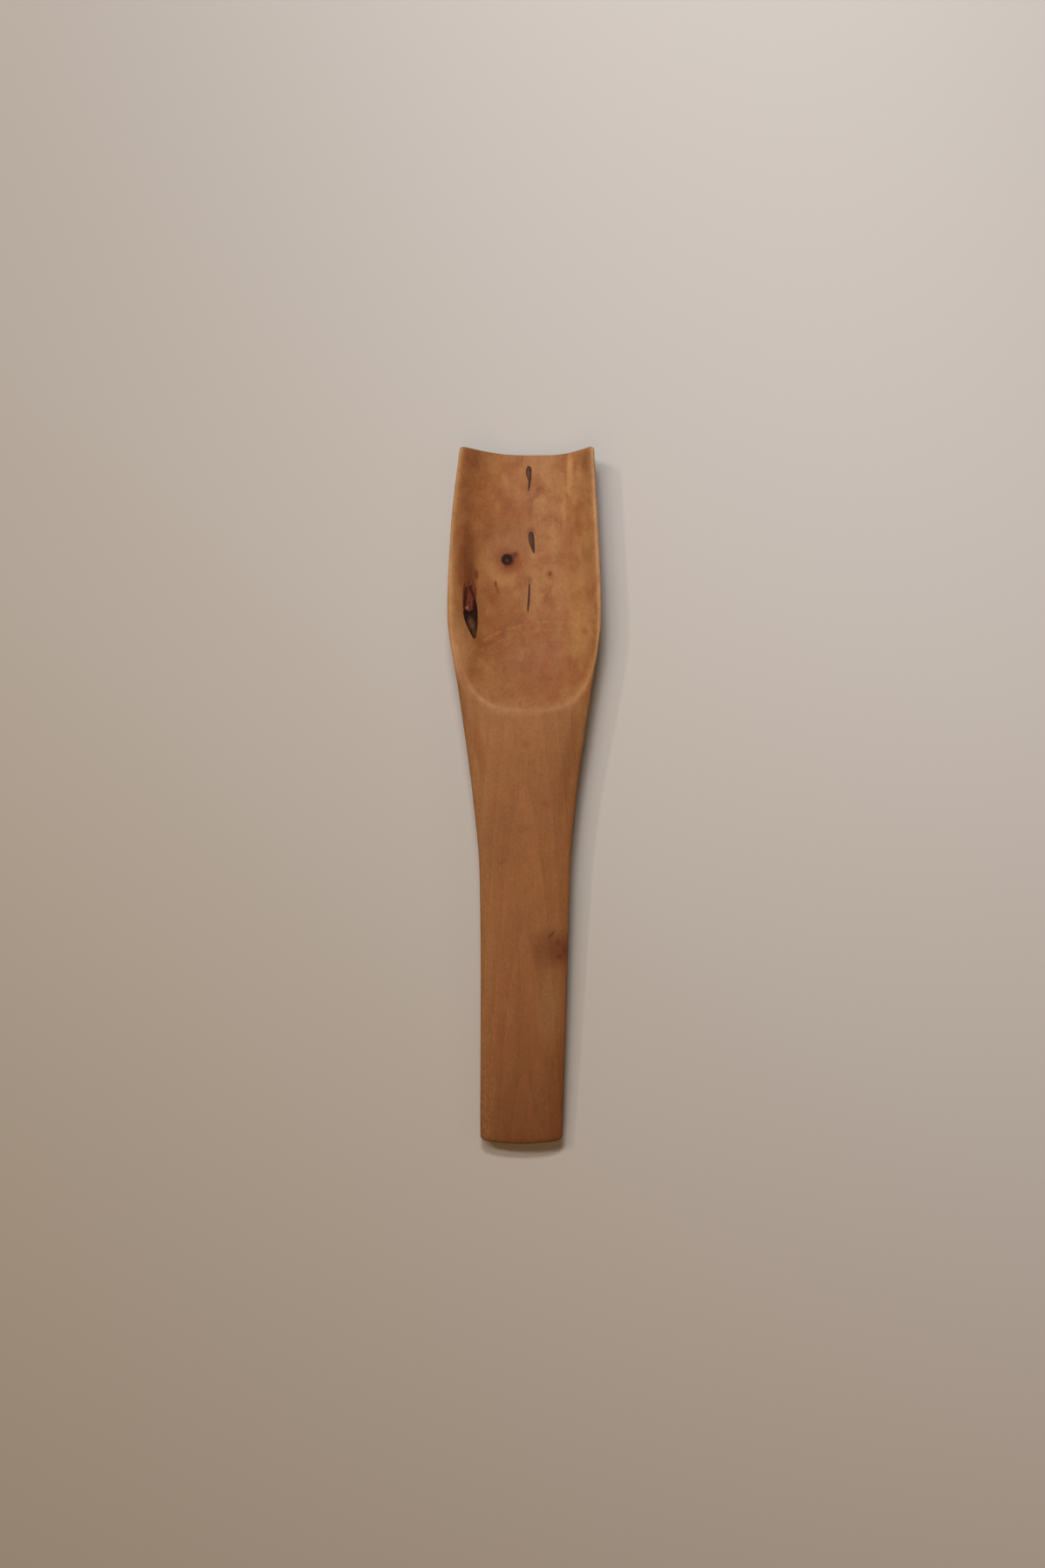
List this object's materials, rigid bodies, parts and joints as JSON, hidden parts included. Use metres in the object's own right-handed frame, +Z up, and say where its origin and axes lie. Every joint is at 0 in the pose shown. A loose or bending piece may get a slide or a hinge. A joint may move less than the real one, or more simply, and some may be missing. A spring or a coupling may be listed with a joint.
{
  "type": "wooden scoop spoon",
  "caption": "Hand-carved wooden spoon with an open-fronted scoop bowl, a sloping rear ramp and a flat slab handle, for lifting dry goods.",
  "frame": {"origin": "on the table plane, under the middle of the spoon's length and width", "axes": "+Y along the spoon to the open front of its bowl, +X to its right seen from above, +Z up out of the hollow"},
  "size_m": [0.0398, 0.1808, 0.0121],
  "materials": {
    "carved_wood": "oiled, hand-sanded, satin, with fine straight grain along the handle",
    "dead_knot_wood": "black dead branch wood, dull",
    "bark": "red-brown fissured bark, dull",
    "pith": "dark soft pith, dull",
    "live_knot_wood": "red-brown branch wood, satin"
  },
  "bodies": {
    "root": {"spoon_body": "carved_wood", "round_knot": "dead_knot_wood", "dead_knot": "dead_knot_wood", "bark_pocket": "bark", "front_pith": "pith", "middle_pith": "pith", "rear_pith": "pith", "left_pin_knot": "live_knot_wood", "right_pin_knot": "live_knot_wood", "handle_knot": "live_knot_wood"}
  },
  "joints": []
}
